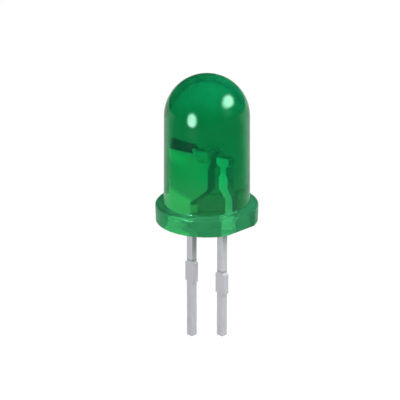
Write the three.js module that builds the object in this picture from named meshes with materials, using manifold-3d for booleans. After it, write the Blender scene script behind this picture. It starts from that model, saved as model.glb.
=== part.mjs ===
// Round 5 mm light-emitting diode in tinted epoxy, unbent radial leads, in millimetres.
// +Z is the lens axis and points out of the dome. The origin is the centre of the flange's underside.
// The stamped leadframe lies in the XZ plane: the anode with its anvil at -X, the cathode post at +X.

import * as THREE from 'three';
import { mergeVertices } from 'three/addons/utils/BufferGeometryUtils.js';
import Module from 'manifold-3d';

const wasm = await Module();
wasm.setup();

// Clearance kept between a moulded or bonded piece and what it holds.
const GAP = 0.02;
const BOND_GAP = 0.01;

// Epoxy case
const LENS_RADIUS = 2.5;
const LENS_CENTRE_Z = 6.4;
const BARREL_FOOT_RADIUS = 2.54;
const FLANGE_THICKNESS = 1.1;
const FLANGE_TOP_RADIUS = 3.04;
const FLANGE_FOOT_RADIUS = 3.02;
const FLANGE_TOP_ROUND = 0.18;
const FLANGE_FOOT_ROUND = 0.05;
const BARREL_FILLET = 0.1;
const FLAT_DISTANCE = 2.82;
const CASE_SEGMENTS = 72;
const DOME_STEPS = 18;
const ROUND_STEPS = 4;

// Epoxy that wets each lead under the flange
const MENISCUS_TOP_RADIUS = 0.62;
const MENISCUS_FOOT_WIDTH = 0.02;
const MENISCUS_DROP = 0.14;
const MENISCUS_STEPS = 5;
const MENISCUS_SEGMENTS = 24;

// Leadframe strip
const LEAD_PITCH = 2.54;
const LEAD_WIDTH = 0.48;
const STRIP_THICKNESS = 0.4;
const STRIP_ROUND = 0.035;
const TIP_CHAMFER = 0.07;
const ANODE_TIP_Z = -7.9;
const CATHODE_TIP_Z = -7.1;

// Stubs of the sheared tie bar, which stop the leads in a board
const STOP_TOP_Z = -3.05;
const STOP_FOOT_Z = -4.35;
const STOP_PROUD = 0.12;
const STOP_RAMP = 0.08;

// Anvil: the broad end of the anode inside the case
const ANVIL_TOP_Z = 4.3;
const ANVIL_LEFT_X = -1.42;

// Reflector cup, coined into the top of the anvil on the lens axis
const CUP_RIM_Z = 4.62;
const CUP_OUTER_RADIUS = 0.54;
const CUP_ROOT_RADIUS = 0.3;
const CUP_ROOT_Z = 3.85;
const CUP_RIM_BAND = 0.1;
const BOWL_RIM_RADIUS = 0.45;
const BOWL_FLOOR_RADIUS = 0.25;
const BOWL_DEPTH = 0.36;
const BOWL_CUT_ABOVE = 0.5;
const CUP_SEGMENTS = 48;

// Ear beside the cup, coined thinner towards its top
const EAR_LEFT_X = ANVIL_LEFT_X + 0.04;
const EAR_RIGHT_X = -0.4;
const EAR_ROOT_Z = ANVIL_TOP_Z - 0.1;
const EAR_LEFT_TOP_Z = 5;
const EAR_RIGHT_TOP_Z = 4.84;
const EAR_TOP_THICKNESS = 0.1;

// Foot of both leads inside the case, and the cathode's post
const FOOT_Z = 0.32;
const POST_TOP_Z = 4.32;
const POST_TOP_CHAMFER = 0.06;

// Chip, the conductive glue under it, and the gold wire
const CHIP_SIDE = 0.3;
const CHIP_HEIGHT = 0.22;
const GLUE_THICKNESS = 0.03;
const GLUE_RADIUS = 0.215;
const GLUE_TOP_RADIUS = 0.195;
const GLUE_SEGMENTS = 20;
const WIRE_RADIUS = 0.018;
const WIRE_SIDES = 8;
const WIRE_STEPS = 24;
const WIRE_LOOP_Z = 4.98;
const BALL_RADIUS = 0.05;
const BALL_FOOT_RADIUS = 0.04;
const BALL_TOP_RADIUS = 0.035;
const BALL_HEIGHT = 0.04;
const BALL_SEGMENTS = 12;

const GLUE_BASE_Z = CUP_RIM_Z - BOWL_DEPTH + BOND_GAP;
const CHIP_BASE_Z = GLUE_BASE_Z + GLUE_THICKNESS + BOND_GAP;
const CHIP_TOP_Z = CHIP_BASE_Z + CHIP_HEIGHT;
const WIRE_START_Z = CHIP_TOP_Z + BOND_GAP;
const WIRE_END_X = LEAD_PITCH / 2;
const WIRE_END_Z = POST_TOP_Z + BOND_GAP + WIRE_RADIUS;

const MATERIALS = {
  epoxy: new THREE.MeshStandardMaterial({
    color: 0x0a8a4a,
    roughness: 0.12,
    metalness: 0,
    transparent: true,
    opacity: 0.6,
  }),
  plated: new THREE.MeshStandardMaterial({ color: 0xb9bac0, roughness: 0.38, metalness: 1 }),
  chip: new THREE.MeshStandardMaterial({ color: 0x6f7a3a, roughness: 0.35, metalness: 0.2 }),
  glue: new THREE.MeshStandardMaterial({ color: 0x8f9094, roughness: 0.7, metalness: 0.6 }),
  gold: new THREE.MeshStandardMaterial({ color: 0xe0a63a, roughness: 0.3, metalness: 1 }),
};

// --- solids and meshes ---------------------------------------------------------------------------

// A closed geometry as a manifold solid, with shared vertices merged and pole slivers left out.
function toSolid(geometry) {
  const bare = geometry.clone();
  bare.deleteAttribute('normal');
  bare.deleteAttribute('uv');
  const merged = mergeVertices(bare, 1e-5);
  const index = merged.index.array;
  const triVerts = [];
  for (let i = 0; i < index.length; i += 3) {
    const [a, b, c] = [index[i], index[i + 1], index[i + 2]];
    if (a !== b && b !== c && c !== a) triVerts.push(a, b, c);
  }
  return new wasm.Manifold(new wasm.Mesh({
    numProp: 3,
    vertProperties: new Float32Array(merged.attributes.position.array),
    triVerts: new Uint32Array(triVerts),
  }));
}

function toGeometry(solid) {
  const mesh = solid.getMesh();
  const geometry = new THREE.BufferGeometry();
  geometry.setAttribute('position', new THREE.BufferAttribute(mesh.vertProperties, 3));
  geometry.setIndex(new THREE.BufferAttribute(mesh.triVerts, 1));
  geometry.computeVertexNormals();
  return geometry;
}

function namedMesh(name, solid, material) {
  const mesh = new THREE.Mesh(toGeometry(solid), material);
  mesh.name = name;
  return mesh;
}

// A solid of revolution about Z. The profile runs from the foot of the axis round to its top.
function turned(profile, segments) {
  const geometry = new THREE.LatheGeometry(profile, segments);
  geometry.rotateX(Math.PI / 2);
  return toSolid(geometry);
}

// Points of a circular arc in the profile plane, angles in degrees from the outward direction.
function arc(centreR, centreZ, radius, from, to, steps) {
  const points = [];
  for (let i = 0; i <= steps; i++) {
    const angle = THREE.MathUtils.degToRad(from + ((to - from) * i) / steps);
    const r = centreR + radius * Math.cos(angle);
    points.push(new THREE.Vector2(Math.abs(r) < 1e-6 ? 0 : r, centreZ + radius * Math.sin(angle)));
  }
  return points;
}

// A piece stamped from the strip: its outline in x and z, its edges rounded, centred on y = 0.
// grow moves every face outwards, which gives the room that the epoxy leaves for the piece.
function stamped(outline, grow) {
  const shape = new THREE.Shape(outline.map(([x, z]) => new THREE.Vector2(x, z)));
  const geometry = new THREE.ExtrudeGeometry(shape, {
    depth: STRIP_THICKNESS + 2 * (grow - STRIP_ROUND),
    bevelEnabled: true,
    bevelThickness: STRIP_ROUND,
    bevelSize: STRIP_ROUND,
    bevelOffset: grow - STRIP_ROUND,
    bevelSegments: 2,
  });
  geometry.translate(0, 0, -STRIP_THICKNESS / 2 - grow + STRIP_ROUND);
  geometry.rotateX(Math.PI / 2);
  return toSolid(geometry);
}

// --- leadframe -----------------------------------------------------------------------------------

// The straight leg of a lead as outline points from its left shoulder down, round the tip and up
// to its right shoulder, with the two stop stubs.
function legPoints(centreX, tipZ, shoulderZ) {
  const half = LEAD_WIDTH / 2;
  const rightSide = [
    [half - TIP_CHAMFER, tipZ],
    [half, tipZ + TIP_CHAMFER],
    [half, STOP_FOOT_Z],
    [half + STOP_PROUD, STOP_FOOT_Z],
    [half + STOP_PROUD, STOP_TOP_Z - STOP_RAMP],
    [half, STOP_TOP_Z],
    [half, shoulderZ],
  ];
  const leftSide = rightSide.map(([x, z]) => [-x, z]).reverse();
  return [...leftSide, ...rightSide].map(([x, z]) => [centreX + x, z]);
}

// Anode: leg, anchoring foot and the broad anvil that carries the cup.
function anodeOutline() {
  return [
    ...legPoints(-LEAD_PITCH / 2, ANODE_TIP_Z, FOOT_Z),
    [-0.6, 0.55],
    [-0.6, 1.25],
    [0.2, 2.15],
    [0.25, 2.3],
    [0.25, 3.5],
    [0.42, 3.95],
    [0.42, ANVIL_TOP_Z],
    [ANVIL_LEFT_X + 0.06, ANVIL_TOP_Z],
    [ANVIL_LEFT_X, ANVIL_TOP_Z - 0.06],
    [ANVIL_LEFT_X, 1.45],
    [-1.64, 1.2],
    [-1.64, 0.6],
  ];
}

// Cathode: leg, cranked foot, neck and the T-shaped head that takes the wire.
function cathodeOutline() {
  return [
    ...legPoints(LEAD_PITCH / 2, CATHODE_TIP_Z, FOOT_Z),
    [2.08, 0.75],
    [2.12, 0.9],
    [2.12, 1.75],
    [2.0, 2.05],
    [1.6, 2.5],
    [1.6, 3.1],
    [1.48, 3.3],
    [1.48, 3.72],
    [1.72, 3.94],
    [1.72, POST_TOP_Z - POST_TOP_CHAMFER],
    [1.72 - POST_TOP_CHAMFER, POST_TOP_Z],
    [0.74 + POST_TOP_CHAMFER, POST_TOP_Z],
    [0.74, POST_TOP_Z - POST_TOP_CHAMFER],
    [0.74, 3.94],
    [1.02, 3.72],
    [1.02, 3.3],
    [0.92, 3.1],
    [0.92, 2.4],
    [1.4, 1.8],
    [1.4, 0.95],
    [1.03, 0.6],
  ];
}

// The cup's outside cone, from its root in the plate up to the rim.
function cupCone(grow) {
  return turned([
    new THREE.Vector2(0, CUP_ROOT_Z - grow),
    new THREE.Vector2(CUP_ROOT_RADIUS + grow, CUP_ROOT_Z - grow),
    new THREE.Vector2(CUP_OUTER_RADIUS + grow, CUP_RIM_Z - CUP_RIM_BAND - grow),
    new THREE.Vector2(CUP_OUTER_RADIUS + grow, CUP_RIM_Z + grow),
    new THREE.Vector2(0, CUP_RIM_Z + grow),
  ], CUP_SEGMENTS);
}

// The conical bowl as the solid to take away; its wall carries on above the rim to cut it cleanly.
function cupBowl(grow) {
  const slope = (BOWL_RIM_RADIUS - BOWL_FLOOR_RADIUS) / BOWL_DEPTH;
  const floorZ = CUP_RIM_Z - BOWL_DEPTH + grow;
  return turned([
    new THREE.Vector2(0, floorZ),
    new THREE.Vector2(BOWL_FLOOR_RADIUS - grow, floorZ),
    new THREE.Vector2(BOWL_RIM_RADIUS - grow + slope * BOWL_CUT_ABOVE, CUP_RIM_Z + BOWL_CUT_ABOVE),
    new THREE.Vector2(0, CUP_RIM_Z + BOWL_CUT_ABOVE),
  ], CUP_SEGMENTS);
}

// The ear: a wedge whose root lies inside the plate and whose end faces the bowl.
function anvilEar(grow) {
  const ends = [
    [EAR_LEFT_X - grow, EAR_LEFT_TOP_Z + grow],
    [EAR_RIGHT_X + grow, EAR_RIGHT_TOP_Z + grow],
  ];
  const rootHalf = STRIP_THICKNESS / 2 - STRIP_ROUND + grow;
  const topHalf = EAR_TOP_THICKNESS / 2 + grow;
  const corners = ends.flatMap(([x, topZ]) => [
    [x, -rootHalf, EAR_ROOT_Z],
    [x, rootHalf, EAR_ROOT_Z],
    [x, -topHalf, topZ],
    [x, topHalf, topZ],
  ]);
  return wasm.Manifold.hull(corners);
}

function anodeLead(grow) {
  return stamped(anodeOutline(), grow)
    .add(cupCone(grow))
    .add(anvilEar(grow))
    .subtract(cupBowl(grow));
}

function cathodeLead(grow) {
  return stamped(cathodeOutline(), grow);
}

// --- chip, glue and wire -------------------------------------------------------------------------

function ledChip(grow) {
  const side = CHIP_SIDE + 2 * grow;
  const geometry = new THREE.BoxGeometry(side, side, CHIP_HEIGHT + 2 * grow);
  geometry.translate(0, 0, CHIP_BASE_Z + CHIP_HEIGHT / 2);
  return toSolid(geometry);
}

function dieAttach(grow) {
  return turned([
    new THREE.Vector2(0, GLUE_BASE_Z - grow),
    new THREE.Vector2(GLUE_RADIUS + grow, GLUE_BASE_Z - grow),
    new THREE.Vector2(GLUE_TOP_RADIUS + grow, GLUE_BASE_Z + GLUE_THICKNESS + grow),
    new THREE.Vector2(0, GLUE_BASE_Z + GLUE_THICKNESS + grow),
  ], GLUE_SEGMENTS);
}

// The wire rises from its ball on the chip, loops over the cup's rim and lies down on the post.
function bondWire(grow) {
  const path = new THREE.CatmullRomCurve3([
    new THREE.Vector3(0, 0, WIRE_START_Z + BALL_HEIGHT / 2),
    new THREE.Vector3(0.04, 0, WIRE_LOOP_Z - 0.12),
    new THREE.Vector3(0.3, 0, WIRE_LOOP_Z),
    new THREE.Vector3(0.72, 0, WIRE_LOOP_Z - 0.16),
    new THREE.Vector3(1.02, 0, WIRE_END_Z + 0.15),
    new THREE.Vector3(WIRE_END_X - 0.09, 0, WIRE_END_Z + 0.01),
    new THREE.Vector3(WIRE_END_X + grow, 0, WIRE_END_Z),
  ]);
  const radius = WIRE_RADIUS + grow;
  const corners = [];
  for (let i = 0; i < WIRE_SIDES; i++) {
    const angle = (2 * Math.PI * i) / WIRE_SIDES;
    corners.push(new THREE.Vector2(radius * Math.cos(angle), radius * Math.sin(angle)));
  }
  const tube = new THREE.ExtrudeGeometry(new THREE.Shape(corners), {
    steps: WIRE_STEPS,
    extrudePath: path,
  });
  const ball = turned([
    new THREE.Vector2(0, WIRE_START_Z - grow),
    new THREE.Vector2(BALL_FOOT_RADIUS + grow, WIRE_START_Z - grow),
    new THREE.Vector2(BALL_RADIUS + grow, WIRE_START_Z + BALL_HEIGHT / 2),
    new THREE.Vector2(BALL_TOP_RADIUS + grow, WIRE_START_Z + BALL_HEIGHT + grow),
    new THREE.Vector2(0, WIRE_START_Z + BALL_HEIGHT + grow),
  ], BALL_SEGMENTS);
  return toSolid(tube).add(ball);
}

// --- epoxy case ----------------------------------------------------------------------------------

function caseBody() {
  const profile = [
    new THREE.Vector2(0, 0),
    ...arc(FLANGE_FOOT_RADIUS - FLANGE_FOOT_ROUND, FLANGE_FOOT_ROUND, FLANGE_FOOT_ROUND,
      -90, 0, ROUND_STEPS),
    ...arc(FLANGE_TOP_RADIUS - FLANGE_TOP_ROUND, FLANGE_THICKNESS - FLANGE_TOP_ROUND, FLANGE_TOP_ROUND,
      0, 90, ROUND_STEPS),
    ...arc(BARREL_FOOT_RADIUS + BARREL_FILLET, FLANGE_THICKNESS + BARREL_FILLET, BARREL_FILLET,
      270, 180, ROUND_STEPS),
    ...arc(0, LENS_CENTRE_Z, LENS_RADIUS, 0, 90, DOME_STEPS),
  ];
  return turned(profile, CASE_SEGMENTS);
}

// The polarity flat: what lies past it is taken off the flange on the cathode's side.
function flatCutter() {
  const depth = FLANGE_TOP_RADIUS;
  const geometry = new THREE.BoxGeometry(depth, 2 * FLANGE_TOP_RADIUS, 3 * FLANGE_THICKNESS);
  geometry.translate(FLAT_DISTANCE + depth / 2, 0, FLANGE_THICKNESS / 2);
  return toSolid(geometry);
}

// Concave skirt of epoxy that has crept down a lead.
function meniscus(centreX) {
  const leadRadius = Math.hypot(LEAD_WIDTH, STRIP_THICKNESS) / 2 + GAP;
  const footRadius = leadRadius + MENISCUS_FOOT_WIDTH;
  const spread = MENISCUS_TOP_RADIUS - footRadius;
  const points = [new THREE.Vector2(0, -MENISCUS_DROP)];
  for (let i = 0; i <= MENISCUS_STEPS; i++) {
    const t = i / MENISCUS_STEPS;
    points.push(new THREE.Vector2(footRadius + spread * t, -MENISCUS_DROP * (1 - t) ** 2));
  }
  points.push(new THREE.Vector2(MENISCUS_TOP_RADIUS, GAP), new THREE.Vector2(0, GAP));
  return turned(points, MENISCUS_SEGMENTS).translate([centreX, 0, 0]);
}

function epoxyCase() {
  return caseBody()
    .subtract(flatCutter())
    .add(meniscus(-LEAD_PITCH / 2))
    .add(meniscus(LEAD_PITCH / 2))
    .subtract(anodeLead(GAP))
    .subtract(cathodeLead(GAP))
    .subtract(dieAttach(GAP))
    .subtract(ledChip(GAP))
    .subtract(bondWire(GAP));
}

// --- assembly ------------------------------------------------------------------------------------

const led = new THREE.Group();
led.add(
  namedMesh('epoxy_case', epoxyCase(), MATERIALS.epoxy),
  namedMesh('anode_lead', anodeLead(0), MATERIALS.plated),
  namedMesh('cathode_lead', cathodeLead(0), MATERIALS.plated),
  namedMesh('led_chip', ledChip(0), MATERIALS.chip),
  namedMesh('die_attach', dieAttach(0), MATERIALS.glue),
  namedMesh('bond_wire', bondWire(0), MATERIALS.gold),
);

export default led;
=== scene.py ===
"""Looks of a round 5 mm light-emitting diode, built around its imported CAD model.

Lengths are in metres, and places inside the materials are in millimetres.
"""

import math

import bmesh
import bpy
from mathutils import Matrix, Vector


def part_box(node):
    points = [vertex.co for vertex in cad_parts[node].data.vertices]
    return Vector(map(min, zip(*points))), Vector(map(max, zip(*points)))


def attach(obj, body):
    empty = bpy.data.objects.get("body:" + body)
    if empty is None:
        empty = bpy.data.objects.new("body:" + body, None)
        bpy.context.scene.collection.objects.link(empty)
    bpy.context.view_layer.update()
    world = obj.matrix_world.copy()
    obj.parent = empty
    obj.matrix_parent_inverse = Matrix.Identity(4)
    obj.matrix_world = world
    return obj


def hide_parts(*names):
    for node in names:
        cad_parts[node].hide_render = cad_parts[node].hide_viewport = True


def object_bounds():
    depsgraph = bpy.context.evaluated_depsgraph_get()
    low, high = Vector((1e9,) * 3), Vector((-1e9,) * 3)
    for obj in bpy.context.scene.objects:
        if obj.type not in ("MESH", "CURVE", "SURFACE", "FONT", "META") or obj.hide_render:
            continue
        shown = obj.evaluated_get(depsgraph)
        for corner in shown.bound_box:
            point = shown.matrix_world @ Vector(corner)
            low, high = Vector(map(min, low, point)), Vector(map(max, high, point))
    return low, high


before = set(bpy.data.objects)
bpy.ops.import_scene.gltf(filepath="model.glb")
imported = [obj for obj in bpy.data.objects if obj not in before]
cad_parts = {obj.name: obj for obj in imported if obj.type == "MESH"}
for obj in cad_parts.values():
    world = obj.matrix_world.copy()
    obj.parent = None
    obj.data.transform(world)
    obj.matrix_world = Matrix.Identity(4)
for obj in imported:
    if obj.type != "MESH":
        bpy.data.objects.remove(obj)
CAD_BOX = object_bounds()

MM = 0.001
TINY = 1e-9

# --- sizes, read from the frame or shared with the CAD model --------------------------------------

CASE_LOW, CASE_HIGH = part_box("epoxy_case")
CHIP_LOW, CHIP_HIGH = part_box("led_chip")
GLUE_LOW, GLUE_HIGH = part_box("die_attach")
LOWEST_Z = CAD_BOX[0][2]

LENS_RADIUS = 2.5 * MM
LENS_CENTRE_Z = CASE_HIGH.z - LENS_RADIUS
LENS_CENTRE = Vector((0, 0, LENS_CENTRE_Z))
BARREL_FOOT_RADIUS = 2.54 * MM
FLANGE_TOP_RADIUS = CASE_HIGH.y
FLANGE_FOOT_RADIUS = FLANGE_TOP_RADIUS - 0.02 * MM
FLANGE_THICKNESS = 1.1 * MM
FLANGE_TOP_ROUND = 0.18 * MM
FLANGE_FOOT_ROUND = 0.05 * MM
BARREL_FILLET = 0.06 * MM
FLAT_DISTANCE = CASE_HIGH.x
FLAT_CORNER = 0.05 * MM
FLAT_REACH = 4 * FLAT_CORNER
MENISCUS_DROP = -CASE_LOW.z
MENISCUS_REACH = 0.14 * MM
LEAD_X = 1.27 * MM
LEAD_WIDTH = 0.48 * MM
STRIP_THICKNESS = 0.4 * MM


def new_object(name, data):
    """An object that is linked to the scene."""
    made = bpy.data.objects.new(name, data)
    bpy.context.scene.collection.objects.link(made)
    return made


# --- camera ---------------------------------------------------------------------------------------

CAMERA_AZIMUTH = math.radians(45)
CAMERA_ELEVATION = math.radians(21)
CAMERA_DISTANCE = 130 * MM
VIEW_WIDTH = 23.6 * MM
AIM_RIGHT = -0.404 * MM
AIM_UP = 1.103 * MM
SENSOR_WIDTH = 36.0
CLIP_START = 1 * MM
CLIP_END = 10


def make_camera():
    right = Vector((math.cos(CAMERA_AZIMUTH), math.sin(CAMERA_AZIMUTH), 0))
    towards = Vector((
        math.sin(CAMERA_AZIMUTH) * math.cos(CAMERA_ELEVATION),
        -math.cos(CAMERA_AZIMUTH) * math.cos(CAMERA_ELEVATION),
        math.sin(CAMERA_ELEVATION),
    ))
    up = towards.cross(right)
    place = right * AIM_RIGHT + up * AIM_UP + towards * CAMERA_DISTANCE
    data = bpy.data.cameras.new("photo_camera")
    data.sensor_width = SENSOR_WIDTH
    data.lens = SENSOR_WIDTH * CAMERA_DISTANCE / VIEW_WIDTH
    data.clip_start = CLIP_START
    data.clip_end = CLIP_END
    camera = new_object("photo_camera", data)
    turn = Matrix((right, up, towards)).transposed().to_4x4()
    camera.matrix_world = Matrix.Translation(place) @ turn
    bpy.context.scene.camera = camera


# --- mesh helpers ---------------------------------------------------------------------------------

def finished(name, bm, sharp_angle):
    """The piece made from bm, smooth except across edges sharper than sharp_angle in degrees."""
    bmesh.ops.recalc_face_normals(bm, faces=bm.faces)
    mesh = bpy.data.meshes.new(name)
    bm.to_mesh(mesh)
    bm.free()
    for polygon in mesh.polygons:
        polygon.use_smooth = True
    mesh.set_sharp_from_angle(angle=math.radians(sharp_angle))
    return new_object(name, mesh)


def arc(centre_r, centre_z, radius, start, end, steps):
    """Points of a profile's round stretch, from start to end in degrees."""
    points = []
    for i in range(steps + 1):
        angle = math.radians(start + (end - start) * i / steps)
        points.append((centre_r + radius * math.cos(angle), centre_z + radius * math.sin(angle)))
    return points


def revolved(profile, segments):
    """A closed surface of revolution about Z; the profile's ends lie on the axis."""
    bm = bmesh.new()
    rings = []
    for r, z in profile:
        count = segments if r > 0 else 1
        turns = (2 * math.pi * k / segments for k in range(count))
        rings.append([bm.verts.new((r * math.cos(a), r * math.sin(a), z)) for a in turns])
    for low, high in zip(rings, rings[1:]):
        for k in range(segments):
            n = (k + 1) % segments
            corners = [low[k % len(low)], low[n % len(low)], high[n % len(high)], high[k % len(high)]]
            bm.faces.new(dict.fromkeys(corners))
    return bm


# --- epoxy case -----------------------------------------------------------------------------------

CASE_SEGMENTS = 240
UNDERSIDE_RINGS = 56
DOME_STEPS = 64
ROUND_STEPS = 8
MOULDED_SHARP = 40


def case_profile():
    foot_r = FLANGE_FOOT_RADIUS - FLANGE_FOOT_ROUND
    top_r = FLANGE_TOP_RADIUS - FLANGE_TOP_ROUND
    top_z = FLANGE_THICKNESS - FLANGE_TOP_ROUND
    fillet_r = BARREL_FOOT_RADIUS + BARREL_FILLET
    fillet_z = FLANGE_THICKNESS + BARREL_FILLET
    return [
        *[(foot_r * i / UNDERSIDE_RINGS, 0) for i in range(UNDERSIDE_RINGS)],
        *arc(foot_r, FLANGE_FOOT_ROUND, FLANGE_FOOT_ROUND, -90, 0, ROUND_STEPS),
        *arc(top_r, top_z, FLANGE_TOP_ROUND, 0, 90, ROUND_STEPS),
        *arc(fillet_r, fillet_z, BARREL_FILLET, 270, 180, ROUND_STEPS),
        *arc(0, LENS_CENTRE_Z, LENS_RADIUS, 0, 90, DOME_STEPS)[:-1],
        (0, LENS_CENTRE_Z + LENS_RADIUS),
    ]


def flatten_side(bm):
    """Draws the flange in to the polarity flat on +X, with the flat's upright corners softened."""
    free_radius = BARREL_FOOT_RADIUS + 2 * BARREL_FILLET
    foot_radius = FLANGE_FOOT_RADIUS - FLANGE_FOOT_ROUND
    for v in bm.verts:
        radius = math.hypot(v.co.x, v.co.y)
        if v.co.z > FLANGE_THICKNESS + TINY or v.co.x <= 0 or radius <= free_radius:
            continue
        over = FLANGE_TOP_RADIUS - FLAT_DISTANCE * radius / v.co.x
        draw = (over + math.hypot(over, FLAT_CORNER)) / 2 if over > -FLAT_REACH else 0
        share = min(1, (radius - free_radius) / (foot_radius - free_radius))
        shrink = 1 - draw * share / radius
        v.co.x *= shrink
        v.co.y *= shrink


def lead_distance(x, y):
    """How far a point of the underside lies outside the nearer lead's section."""
    across = max(0, abs(abs(x) - LEAD_X) - LEAD_WIDTH / 2)
    along = max(0, abs(y) - STRIP_THICKNESS / 2)
    return math.hypot(across, along)


def wet_leads(bm):
    """Pulls the underside down into the skirt of epoxy that has crept along each lead."""
    for v in bm.verts:
        if v.co.z < TINY:
            v.co.z -= MENISCUS_DROP * math.exp(-lead_distance(v.co.x, v.co.y) / MENISCUS_REACH)


def make_case():
    bm = revolved(case_profile(), CASE_SEGMENTS)
    flatten_side(bm)
    wet_leads(bm)
    return finished("lens_case", bm, MOULDED_SHARP)


# --- leadframe, chip, glue and wire ---------------------------------------------------------------

MERGE_DISTANCE = 1e-7
LEVEL_ANGLE = math.radians(0.5)
STRIP_SHARP = 30
STRIP_FACE_AREA = 0.05 * MM * MM
WIRE_SHARP = 60
CHIP_SHARP = 30
CHIP_BEVEL = 0.008 * MM
CHIP_BEVEL_STEPS = 2
CHIP_TAPER = 0.94
GLUE_SEGMENTS = 48
GLUE_ROUND = 0.012 * MM
GLUE_ROUND_ANGLE = 60
GLUE_ROUND_STEPS = 4
GLUE_WOBBLE = 0.03


def copied(node, name, sharp_angle):
    """A cleaned copy of a CAD node, to carry a finer finish."""
    bm = bmesh.new()
    bm.from_mesh(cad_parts[node].data)
    bmesh.ops.remove_doubles(bm, verts=bm.verts, dist=MERGE_DISTANCE)
    bmesh.ops.dissolve_limit(bm, angle_limit=LEVEL_ANGLE, verts=bm.verts, edges=bm.edges)
    return finished(name, bm, sharp_angle)


def copied_strip(node, name):
    """A cleaned copy of a stamped lead: its broad faces are flat, its cup and its edges smooth."""
    piece = copied(node, name, STRIP_SHARP)
    for polygon in piece.data.polygons:
        polygon.use_smooth = polygon.area < STRIP_FACE_AREA
    return piece


def make_chip():
    """The diced block, a little narrower at its top, where the saw has cut deeper."""
    bm = bmesh.new()
    bmesh.ops.create_cube(bm, size=1)
    size = CHIP_HIGH - CHIP_LOW
    for v in bm.verts:
        share = CHIP_TAPER if v.co.z > 0 else 1
        v.co = Vector((v.co.x * size.x * share, v.co.y * size.y * share, v.co.z * size.z))
        v.co += (CHIP_LOW + CHIP_HIGH) / 2
    bmesh.ops.bevel(bm, geom=bm.edges[:], offset=CHIP_BEVEL, segments=CHIP_BEVEL_STEPS, affect="EDGES")
    return finished("diced_chip", bm, CHIP_SHARP)


def make_glue():
    """The pressed-out drop of glue: a thin disc with a rounded, slightly uneven rim."""
    reach = GLUE_HIGH.x - GLUE_ROUND
    low, high = GLUE_LOW.z, GLUE_HIGH.z
    middle = (low + high) / 2
    rim = arc(reach, middle, GLUE_ROUND, -GLUE_ROUND_ANGLE, GLUE_ROUND_ANGLE, GLUE_ROUND_STEPS)
    bm = revolved([(0, low), (reach, low), *rim, (reach, high), (0, high)], GLUE_SEGMENTS)
    for v in bm.verts:
        angle = math.atan2(v.co.y, v.co.x)
        shrink = 1 - GLUE_WOBBLE * (1 + math.sin(3 * angle + 1) * math.cos(5 * angle)) / 2
        v.co.x *= shrink
        v.co.y *= shrink
    return finished("glue_drop", bm, MOULDED_SHARP)


# --- shader graphs --------------------------------------------------------------------------------

class Graph:
    """Adds and links the nodes of one material, lamp or world."""

    def __init__(self, owner):
        owner.use_nodes = True
        self.nodes = owner.node_tree.nodes
        self.links = owner.node_tree.links

    def feed(self, socket, value):
        if isinstance(value, bpy.types.NodeSocket):
            self.links.new(value, socket)
        else:
            socket.default_value = value

    def add(self, kind, inputs, **settings):
        node = self.nodes.new("ShaderNode" + kind)
        for key, value in settings.items():
            setattr(node, key, value)
        for key, value in inputs.items():
            self.feed(node.inputs[key], value)
        return node

    def maths(self, operation, a, b=0.0):
        return self.add("Math", {0: a, 1: b}, operation=operation).outputs[0]

    def total(self, first, *others):
        for other in others:
            first = self.maths("ADD", first, other)
        return first

    def product(self, first, *others):
        for other in others:
            first = self.maths("MULTIPLY", first, other)
        return first

    def place(self):
        """Object coordinates in millimetres."""
        coords = self.add("TexCoord", {}).outputs["Object"]
        return self.add("VectorMath", {0: coords, "Scale": 1 / MM}, operation="SCALE").outputs[0]

    def axes(self, vector):
        return self.add("SeparateXYZ", {0: vector}).outputs

    def facing(self, axis):
        """How squarely the surface's own normal lies along an axis, from 0 to 1."""
        normal = self.add("TexCoord", {}).outputs["Normal"]
        return self.maths("ABSOLUTE", self.axes(normal)[axis])

    def stretched(self, vector, scale):
        return self.add("VectorMath", {0: vector, 1: scale}, operation="MULTIPLY").outputs[0]

    def length(self, vector):
        return self.add("VectorMath", {0: vector}, operation="LENGTH").outputs["Value"]

    def distance(self, vector):
        """Distance from the lens axis."""
        return self.length(self.stretched(vector, (1, 1, 0)))

    def rise(self, value, low, high, bottom=0.0, top=1.0):
        """Smooth step of value from bottom at low to top at high."""
        inputs = {"Value": value, "From Min": low, "From Max": high, "To Min": bottom, "To Max": top}
        return self.add("MapRange", inputs, interpolation_type="SMOOTHSTEP").outputs[0]

    def band(self, value, low, high, soft):
        """1 between low and high, 0 outside, with soft edges."""
        up = self.rise(value, low - soft, low + soft)
        return self.product(up, self.rise(value, high - soft, high + soft, 1.0, 0.0))

    def noise(self, vector, scale, detail=2.0, roughness=0.5):
        inputs = {"Vector": vector, "Scale": scale, "Detail": detail, "Roughness": roughness}
        return self.add("TexNoise", inputs).outputs["Fac"]

    def blend(self, factor, a, b):
        """Mixes two colours, which are the Mix node's sockets 6 and 7."""
        return self.add("Mix", {"Factor": factor, 6: a, 7: b}, data_type="RGBA").outputs[2]

    def between(self, factor, a, b):
        """Mixes two numbers, which are the Mix node's sockets 2 and 3."""
        return self.add("Mix", {"Factor": factor, 2: a, 3: b}, data_type="FLOAT").outputs[0]

    def bump(self, height, depth, under=None):
        """A normal raised by height times depth in metres."""
        inputs = {"Height": height, "Distance": depth, "Strength": 1.0}
        if under is not None:
            inputs["Normal"] = under
        return self.add("Bump", inputs).outputs[0]


def new_material(name):
    material = bpy.data.materials.new(name)
    graph = Graph(material)
    return material, graph, graph.nodes["Principled BSDF"].inputs


# --- materials ------------------------------------------------------------------------------------

# A ..._NOISE is a noise's scale and detail, with its roughness where that isn't 0.5.
# A ..._RANGE is where a smooth step starts and ends.

EPOXY_BASE = (0.01, 0.86, 0.35, 1)
FLANGE_BASE = (0.12, 0.86, 0.43, 1)
BASE_RANGE = (1.0, 3.8)
EPOXY_ABSORBS = (0.85, 0.94, 0.8, 1)
EPOXY_DENSITY = 1200
EPOXY_IOR = 1.54
EPOXY_TINT = (0.17, 0.6, 0.38, 1)

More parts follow.
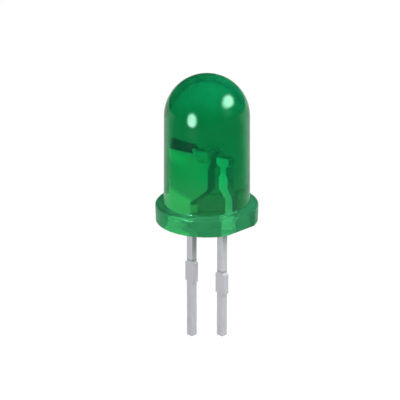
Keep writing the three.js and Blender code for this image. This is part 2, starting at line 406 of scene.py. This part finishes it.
EPOXY_HAZE = 0.04
DOME_HAZE = 0.06
DOME_RANGE = (6.6, 8.6)
RIM_HAZE = 0.05
RIM_RANGE = (0.3, 0.75)
FLANGE_HAZE = 0.07
FLANGE_RANGE = (1.0, 1.3)
CLOUD_NOISE = (1.3, 2.0)
CLOUD_RANGE = (0.3, 0.7)
CLOUD_SHARES = (0.9, 1.1)

EPOXY_ROUGHNESS = 0.08
SMUDGE_NOISE = (0.8, 4.0, 0.65)
SMUDGE_RANGE = (0.45, 0.75)
SMUDGE_ROUGHNESS = 0.03
COAT_WEIGHT = 0.26
COAT_RANGE = (1.25, 1.6)
COAT_IOR = 1.5
COAT_ROUGHNESS = 0.06
WAVE_NOISE = (0.9, 1.0)
WAVE_DEPTH = 0.003 * MM
FINE_WAVE_NOISE = (9.0, 3.0)
FINE_WAVE_SHARE = 0.02


def epoxy_haze(g, place, height):
    """Share of the light that the clouded epoxy scatters: most in the dome, the rim and the flange."""
    edge = g.add("LayerWeight", {"Blend": 0.5}).outputs["Facing"]
    dome = g.rise(height, *DOME_RANGE, 0.0, DOME_HAZE)
    rim = g.rise(edge, *RIM_RANGE, 0.0, RIM_HAZE)
    flange = g.rise(height, *FLANGE_RANGE, FLANGE_HAZE, 0.0)
    clouds = g.rise(g.noise(place, *CLOUD_NOISE), *CLOUD_RANGE, *CLOUD_SHARES)
    return g.product(g.total(dome, rim, flange, EPOXY_HAZE), clouds)


def epoxy_waves(g, place):
    """The moulded surface's long, faint waves, with finer ones on them."""
    fine = g.product(g.noise(place, *FINE_WAVE_NOISE), FINE_WAVE_SHARE)
    return g.bump(g.total(g.noise(place, *WAVE_NOISE), fine), WAVE_DEPTH)


def epoxy_material():
    """Green-tinted casting epoxy: clear, with a little haze, faint waves and handling marks."""
    material, g, shader = new_material("tinted_epoxy")
    place = g.place()
    height = g.axes(place)["Z"]
    g.feed(shader["Base Color"], g.blend(g.rise(height, *BASE_RANGE), FLANGE_BASE, EPOXY_BASE))
    g.feed(shader["Transmission Weight"], g.maths("SUBTRACT", 1.0, epoxy_haze(g, place, height)))
    g.feed(shader["IOR"], EPOXY_IOR)
    smudges = g.rise(g.noise(place, *SMUDGE_NOISE), *SMUDGE_RANGE, 0.0, SMUDGE_ROUGHNESS)
    g.feed(shader["Roughness"], g.total(smudges, EPOXY_ROUGHNESS))
    g.feed(shader["Specular Tint"], EPOXY_TINT)
    g.feed(shader["Coat Weight"], g.rise(height, *COAT_RANGE, 0.0, COAT_WEIGHT))
    g.feed(shader["Coat IOR"], COAT_IOR)
    g.feed(shader["Coat Roughness"], COAT_ROUGHNESS)
    waves = epoxy_waves(g, place)
    g.feed(shader["Normal"], waves)
    g.feed(shader["Coat Normal"], waves)
    volume = g.add("VolumeAbsorption", {"Color": EPOXY_ABSORBS, "Density": EPOXY_DENSITY})
    g.feed(g.nodes["Material Output"].inputs["Volume"], volume.outputs[0])
    return material


STOP_TOP_Z = -3.05
ANVIL_TOP_Z = 4.3
CUP_RIM_Z = 4.62
CUP_OUTER_RADIUS = 0.54
INSIDE_RANGE = (-0.15, 0.05)

TIN = (0.423, 0.431, 0.455, 1)
TIN_STAINED = (0.397, 0.407, 0.428, 1)
# Painted shade: the dark line just above each stop.
TIN_SHADE_LINE = (0.27, 0.28, 0.27, 1)
CUT_STEEL = (0.3, 0.29, 0.28, 1)
TIN_ROUGHNESS = 0.55
TIN_METALLIC = 0.2
STAIN_NOISE = (1.7, 3.0)
STAIN_RANGE = (0.45, 0.7)
SHADE_LINE_BAND = (STOP_TOP_Z + 0.04, STOP_TOP_Z + 0.16)
SHADE_LINE_SOFT = 0.04
CUT_FACING_RANGE = (0.9, 0.98)
CUT_RANGE = (-6.9, -6.7)

SILVER = (0.95, 0.95, 0.95, 1)
# Darker silver laid over most of the anvil above its foot, lighter at one spot, and partly over the
# post's head.
DIMMED_SILVER = (0.5, 0.57, 0.58, 1)
SHEARED_METAL = (0.28, 0.27, 0.25, 1)
# Nearly black: painted shade on the ear beside the cup.
EAR_SHADE = (0.02, 0.025, 0.02, 1)
SILVER_ROUGHNESS = 0.6
SILVER_METALLIC = 0.1
DIMMED_SLOPE = 0.6
DIMMED_RANGE = (0.81, 1.26)
BRIGHT_SPOT = (-1.25, 0, 3.9)
BRIGHT_SPOT_RANGE = (0.1, 0.6)
BRIGHT_SPOT_SHARE = 0.2
POST_RANGE = (0.6, 0.65)
HEAD_RANGE = (3.3, 3.6)
HEAD_SHARE = 0.35
SHEARED_FACING_RANGE = (0.6, 0.8)
SHEARED_RANGE = (1.0, 1.2)
ABOVE_RIM_RANGE = (CUP_RIM_Z + 0.005, CUP_RIM_Z + 0.02)
ABOVE_ANVIL_RANGE = (ANVIL_TOP_Z + 0.005, ANVIL_TOP_Z + 0.03)
BESIDE_CUP_RANGE = (CUP_OUTER_RADIUS + 0.01, CUP_OUTER_RADIUS + 0.03)

ROLLED_STRETCH = (9.0, 9.0, 0.7)
SHEARED_STRETCH = (14.0, 0.8, 14.0)
GRAIN_NOISE = (1.0, 3.0)
GRAIN_RANGE = (0.2, 0.8)
GRAIN_ROUGHNESS = (-0.06, 0.06)
GRAIN_DEPTH = 0.006 * MM
SCRATCH_STRETCH = (1.0, 1.0, 0.12)
SCRATCH_NOISE = (16.0, 1.0)
SCRATCH_RANGE = (0.66, 0.7)
SCRATCH_ROUGHNESS = -0.08
SCRATCH_DEPTH = -0.002 * MM


def tin_colour(g, place, height):
    """Tin with stains, a painted shade line above each stop, and bare steel at the cut ends."""
    stains = g.rise(g.noise(place, *STAIN_NOISE), *STAIN_RANGE)
    # A band of painted shade just above each stop.
    shade_line = g.band(height, *SHADE_LINE_BAND, SHADE_LINE_SOFT)
    tin = g.blend(shade_line, g.blend(stains, TIN, TIN_STAINED), TIN_SHADE_LINE)
    cut_end = g.product(g.rise(g.facing("Z"), *CUT_FACING_RANGE), g.rise(height, *CUT_RANGE, 1.0, 0.0))
    return g.blend(cut_end, tin, CUT_STEEL)


def painted_ear_shade(g, place, height):
    """1 on the ear that stands beside the cup, 0 on the cup, the anvil and everything below."""
    # Marks where the silver is painted in shade.
    above_rim = g.rise(height, *ABOVE_RIM_RANGE)
    above_anvil = g.rise(height, *ABOVE_ANVIL_RANGE)
    beside_cup = g.rise(g.distance(place), *BESIDE_CUP_RANGE)
    return g.maths("MAXIMUM", above_rim, g.product(above_anvil, beside_cup))


def dimmed_share(g, place):
    """How far the silver is darkened: 1 over most of the anvil, less at a lighter spot on it, and partly
    on the post's head.
    """
    axes = g.axes(place)
    flat = g.stretched(place, (1, 0, 1))
    reach = g.add("VectorMath", {0: flat, 1: BRIGHT_SPOT}, operation="DISTANCE").outputs["Value"]
    off_spot = g.rise(reach, *BRIGHT_SPOT_RANGE, BRIGHT_SPOT_SHARE, 1.0)
    slanted = g.total(axes["Z"], g.product(axes["X"], DIMMED_SLOPE))
    anvil = g.product(g.rise(slanted, *DIMMED_RANGE), off_spot, g.rise(axes["X"], *POST_RANGE, 1.0, 0.0))
    head = g.product(g.rise(axes["Z"], *HEAD_RANGE, 0.0, HEAD_SHARE), g.rise(axes["X"], *POST_RANGE))
    return g.total(anvil, head)


def silver_colour(g, place, height):
    """Silver, darker over most of the anvil, with sheared sides and painted shade on the ear."""
    silver = g.blend(dimmed_share(g, place), SILVER, DIMMED_SILVER)
    sheared = g.product(g.rise(g.facing("X"), *SHEARED_FACING_RANGE), g.rise(height, *SHEARED_RANGE))
    silver = g.blend(sheared, silver, SHEARED_METAL)
    # The ear beside the cup is painted in shade.
    return g.blend(painted_ear_shade(g, place, height), silver, EAR_SHADE)


def plated_relief(g, place):
    """Rolling grain on the strip's faces, shear marks across its edges, and a few scratches."""
    rolled = g.noise(g.stretched(place, ROLLED_STRETCH), *GRAIN_NOISE)
    sheared = g.noise(g.stretched(place, SHEARED_STRETCH), *GRAIN_NOISE)
    grain = g.between(g.rise(g.facing("X"), *SHEARED_FACING_RANGE), rolled, sheared)
    scratches = g.noise(g.stretched(place, SCRATCH_STRETCH), *SCRATCH_NOISE)
    return grain, g.rise(scratches, *SCRATCH_RANGE)


def plated_material():
    """Dull tin plating outside the epoxy and matt silver plating inside it."""
    material, g, shader = new_material("tin_plate")
    place = g.place()
    height = g.axes(place)["Z"]
    inside = g.rise(height, *INSIDE_RANGE)
    tin = tin_colour(g, place, height)
    silver = silver_colour(g, place, height)
    g.feed(shader["Base Color"], g.blend(inside, tin, silver))
    g.feed(shader["Metallic"], g.rise(inside, 0.0, 1.0, TIN_METALLIC, SILVER_METALLIC))
    grain, scratches = plated_relief(g, place)
    rough = g.rise(inside, 0.0, 1.0, TIN_ROUGHNESS, SILVER_ROUGHNESS)
    uneven = g.rise(grain, *GRAIN_RANGE, *GRAIN_ROUGHNESS)
    g.feed(shader["Roughness"], g.total(rough, uneven, g.product(scratches, SCRATCH_ROUGHNESS)))
    cuts = g.bump(scratches, SCRATCH_DEPTH)
    g.feed(shader["Normal"], g.bump(grain, GRAIN_DEPTH, cuts))
    return material


CHIP_BODY = (0.14, 0.19, 0.04, 1)
CHIP_SAWN = (0.09, 0.11, 0.03, 1)
CHIP_PAD = (0.8, 0.55, 0.2, 1)
CHIP_PAD_RANGE = (0.085, 0.089)
CHIP_TOP_RANGE = (0.7, 0.9)
CHIP_ROUGHNESS = (0.6, 0.25)
SAW_STRETCH = (6.0, 6.0, 60.0)
SAW_NOISE = (1.0, 2.0)
SAW_DEPTH = 0.003 * MM


def chip_material():
    """Semiconductor with a clean top, a round gold pad on it, and sides left rough by the saw."""
    material, g, shader = new_material("semiconductor")
    place = g.place()
    top = g.rise(g.facing("Z"), *CHIP_TOP_RANGE)
    pad = g.product(top, g.rise(g.distance(place), *CHIP_PAD_RANGE, 1.0, 0.0))
    saw = g.noise(g.stretched(place, SAW_STRETCH), *SAW_NOISE)
    g.feed(shader["Base Color"], g.blend(pad, g.blend(top, CHIP_SAWN, CHIP_BODY), CHIP_PAD))
    g.feed(shader["Metallic"], pad)
    g.feed(shader["Roughness"], g.rise(top, 0.0, 1.0, *CHIP_ROUGHNESS))
    g.feed(shader["Normal"], g.bump(g.product(saw, g.maths("SUBTRACT", 1.0, top)), SAW_DEPTH))
    return material


GLUE_FLAKE = (0.6, 0.6, 0.62, 1)
GLUE_RESIN = (0.2, 0.2, 0.21, 1)
GLUE_METALLIC = 0.8
GLUE_ROUGHNESS = (0.7, 0.4)
FLAKE_NOISE = (90.0, 1.0)
FLAKE_RANGE = (0.45, 0.6)
FLAKE_DEPTH = 0.003 * MM


def glue_material():
    """Silver flakes in resin."""
    material, g, shader = new_material("silver_glue")
    flakes = g.rise(g.noise(g.place(), *FLAKE_NOISE), *FLAKE_RANGE)
    g.feed(shader["Base Color"], g.blend(flakes, GLUE_RESIN, GLUE_FLAKE))
    g.feed(shader["Metallic"], g.product(flakes, GLUE_METALLIC))
    g.feed(shader["Roughness"], g.rise(flakes, 0.0, 1.0, *GLUE_ROUGHNESS))
    g.feed(shader["Normal"], g.bump(flakes, FLAKE_DEPTH))
    return material


GOLD = (0.85, 0.56, 0.18, 1)
GOLD_WORKED = (0.7, 0.44, 0.13, 1)
GOLD_ROUGHNESS = (0.22, 0.34)
DRAWN_STRETCH = (4.0, 60.0, 60.0)
DRAWN_NOISE = (1.0, 2.0)
DRAWN_RANGE = (0.2, 0.8)
DRAWN_DEPTH = 0.001 * MM
WORKED_RANGE = (0.05, 0.09)
WORKED_ROUGHNESS = 0.1


def gold_material():
    """Drawn gold wire, duller where its ball was pressed on to the chip."""
    material, g, shader = new_material("gold")
    place = g.place()
    drawn = g.noise(g.stretched(place, DRAWN_STRETCH), *DRAWN_NOISE)
    worked = g.rise(g.distance(place), *WORKED_RANGE, 1.0, 0.0)
    g.feed(shader["Base Color"], g.blend(worked, GOLD, GOLD_WORKED))
    g.feed(shader["Metallic"], 1.0)
    rough = g.rise(drawn, *DRAWN_RANGE, *GOLD_ROUGHNESS)
    g.feed(shader["Roughness"], g.total(rough, g.product(worked, WORKED_ROUGHNESS)))
    g.feed(shader["Normal"], g.bump(drawn, DRAWN_DEPTH))
    return material


# --- stage ----------------------------------------------------------------------------------------

AMBIENT_LEVEL = 0.5
THROUGH_SHARE = 0.2
STUDIO_GLOSS = 0.02
BACKDROP_GLOSS = 0.5
BACKDROP_RANGE = (0, 30)
FLOOR_HALF_WIDTH = 0.6
FLOOR_SHARP = 30
FLOOR_COLOUR = (0.05, 0.05, 0.05, 1)
FLOOR_ROUGHNESS = 0.9
FLOOR_GLOW = 0.95
WHITE = (1, 1, 1, 1)

# Each lamp: degrees to the right of the camera, degrees up, distance, width, height and radiance.
LEFT_SOFTBOX = (-40, 2.5, 55 * MM, 32 * MM, 44 * MM, 20.5)
RIGHT_SOFTBOX = (80, 37.6, 300 * MM, 286 * MM, 169 * MM, 18)
RIGHT_FILL = (60, 20, 300 * MM, 200 * MM, 200 * MM, 9)
IMAGE_STEP = 0.5 * MM
FADE_RANGE = (0.45, 1.0)
FACING_RANGE = (0.8 * MM, 1.5 * MM)


def floor_gloss(g, place):
    """Mirrored share of the floor: STUDIO_GLOSS before the lens, rising to BACKDROP_GLOSS behind it."""
    away = (-math.sin(CAMERA_AZIMUTH), math.cos(CAMERA_AZIMUTH), 0)
    depth = g.add("VectorMath", {0: place, 1: away}, operation="DOT_PRODUCT").outputs["Value"]
    return g.rise(depth, *BACKDROP_RANGE, STUDIO_GLOSS, BACKDROP_GLOSS)


def seen_share(g, mirrored):
    """1 where the background is seen directly, less where it is seen through the lens or mirrored."""
    path = g.add("LightPath", {}).outputs
    through = g.product(path["Is Transmission Ray"], THROUGH_SHARE)
    reflected = g.maths("SUBTRACT", path["Is Glossy Ray"], path["Is Transmission Ray"])
    indirect = g.maths("MAXIMUM", through, g.product(reflected, mirrored))
    return g.maths("MAXIMUM", path["Is Camera Ray"], indirect)


def make_world():
    world = bpy.data.worlds.new("studio")
    g = Graph(world)
    ambient = g.product(g.add("LightPath", {}).outputs["Is Diffuse Ray"], AMBIENT_LEVEL)
    background = g.nodes["Background"].inputs
    g.feed(background["Color"], WHITE)
    g.feed(background["Strength"], g.maths("MAXIMUM", seen_share(g, STUDIO_GLOSS), ambient))
    bpy.context.scene.world = world


def make_lamp(name, azimuth, elevation, distance, width, height, radiance):
    """An area lamp that faces the lens."""
    heading = CAMERA_AZIMUTH + math.radians(azimuth)
    lift = math.radians(elevation)
    level = math.cos(lift)
    direction = Vector((math.sin(heading) * level, -math.cos(heading) * level, math.sin(lift)))
    data = bpy.data.lights.new(name, "AREA")
    data.shape = "RECTANGLE"
    data.size = width
    data.size_y = height
    data.energy = radiance * math.pi * width * height
    lamp = new_object(name, data)
    lamp.location = LENS_CENTRE + direction * distance
    lamp.rotation_euler = direction.to_track_quat("Z", "Y").to_euler()
    lamp.visible_camera = False
    return lamp


def faded_face(g):
    """A fade from a lamp's middle to its rim, and the place from the middle in widths and heights."""
    place = g.add("NewGeometry", {}).outputs["Parametric"]
    offset = g.add("VectorMath", {0: place, 1: (0.5, 0.5, 0)}, operation="SUBTRACT").outputs[0]
    return g.rise(g.length(g.stretched(offset, (2, 2, 0))), *FADE_RANGE, 1.0, 0.0), offset


def add_light(name, *placement):
    """A lamp that lights the scene, through the lens too, but is neither mirrored nor seen through it."""
    lamp = make_lamp(name, *placement)
    g = Graph(lamp.data)
    fade, _ = faded_face(g)
    path = g.add("LightPath", {}).outputs
    through = g.maths("GREATER_THAN", path["Transmission Depth"], 0.5)
    hidden = g.product(through, g.maths("LESS_THAN", path["Diffuse Depth"], 0.5))
    g.feed(g.nodes["Emission"].inputs["Strength"], g.product(fade, g.maths("SUBTRACT", 1.0, hidden)))
    lamp.visible_glossy = False
    return lamp


def add_image(name, azimuth, elevation, distance, *face):
    """A lamp's mirror image, which fades out on the sides of the lens that it only grazes."""
    near = distance - IMAGE_STEP
    lamp = make_lamp(name, azimuth, elevation, near, *face)
    g = Graph(lamp.data)
    fade, offset = faded_face(g)
    across = g.stretched(offset, (lamp.data.size, lamp.data.size_y, 0))
    from_centre = g.add("VectorMath", {0: across, 1: (0, 0, near)}, operation="ADD").outputs[0]
    path = g.add("LightPath", {}).outputs
    facing = g.rise(g.maths("SUBTRACT", g.length(from_centre), path["Ray Length"]), *FACING_RANGE)
    outside = g.maths("LESS_THAN", path["Transmission Depth"], 0.5)
    g.feed(g.nodes["Emission"].inputs["Strength"], g.product(fade, facing, outside))
    lamp.visible_diffuse = False
    lamp.visible_transmission = False


def make_lamps():
    add_light("left_softbox", *LEFT_SOFTBOX)
    add_image("left_image", *LEFT_SOFTBOX)
    right = add_light("right_softbox", *RIGHT_SOFTBOX)
    # The right softbox lights only what lies outside the lens.
    right.visible_transmission = False
    add_image("right_image", *RIGHT_SOFTBOX)
    add_light("right_fill", *RIGHT_FILL)


def make_floor():
    bm = bmesh.new()
    bmesh.ops.create_grid(bm, x_segments=1, y_segments=1, size=FLOOR_HALF_WIDTH)
    bmesh.ops.translate(bm, verts=bm.verts, vec=(0, 0, LOWEST_Z))
    floor = finished("floor", bm, FLOOR_SHARP)
    material, g, shader = new_material("floor")
    g.feed(shader["Base Color"], FLOOR_COLOUR)
    g.feed(shader["Roughness"], FLOOR_ROUGHNESS)
    g.feed(shader["Specular IOR Level"], 0.0)
    g.feed(shader["Emission Color"], WHITE)
    glow = g.product(seen_share(g, floor_gloss(g, g.place())), FLOOR_GLOW)
    g.feed(shader["Emission Strength"], glow)
    floor.data.materials.append(material)


# --- assembly -------------------------------------------------------------------------------------

def dress(piece, material, node):
    """Finishes a piece that stands for a CAD node."""
    piece.data.materials.clear()
    piece.data.materials.append(material)
    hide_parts(node)
    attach(piece, "root")


make_camera()
make_world()
make_lamps()
make_floor()

dress(make_case(), epoxy_material(), "epoxy_case")
plated = plated_material()
dress(copied_strip("anode_lead", "plated_anode"), plated, "anode_lead")
dress(copied_strip("cathode_lead", "plated_cathode"), plated, "cathode_lead")
dress(make_chip(), chip_material(), "led_chip")
dress(make_glue(), glue_material(), "die_attach")
dress(copied("bond_wire", "gold_wire", WIRE_SHARP), gold_material(), "bond_wire")

bpy.context.scene.view_settings.view_transform = "Standard"
